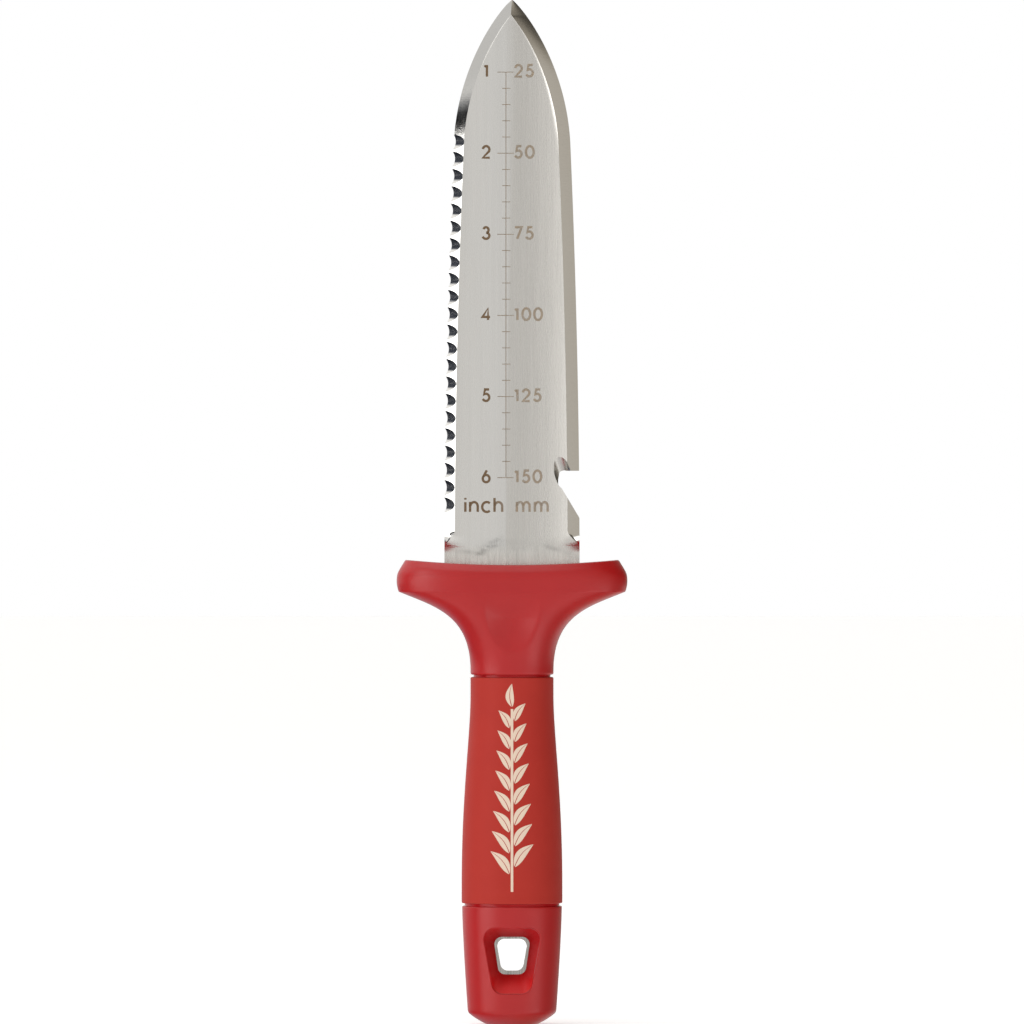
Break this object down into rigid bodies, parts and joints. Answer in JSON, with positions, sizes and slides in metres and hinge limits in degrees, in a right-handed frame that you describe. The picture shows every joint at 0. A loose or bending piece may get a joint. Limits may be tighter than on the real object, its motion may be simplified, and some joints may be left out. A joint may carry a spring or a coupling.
{
  "type": "hand trowel",
  "caption": "Fixed-blade digging and planting knife: dished steel blade with saw edge, twine notch and engraved depth scale, winged guard, soft grip and hang hole.",
  "frame": {"origin": "centre of the flat butt end of the handle", "axes": "+Z along the tool from the butt to the point, -Y out of the hollow face with the depth scale, -X towards the saw edge, +X towards the twine notch"},
  "size_m": [0.0724, 0.03, 0.321],
  "materials": {
    "steel": "satin",
    "hard_plastic": "satin",
    "soft_grip": "matte",
    "engraving": "matte",
    "print": "matte"
  },
  "bodies": {
    "root": {"blade": "steel", "handle_body": "hard_plastic", "grip_sleeve": "soft_grip"}
  },
  "joints": []
}
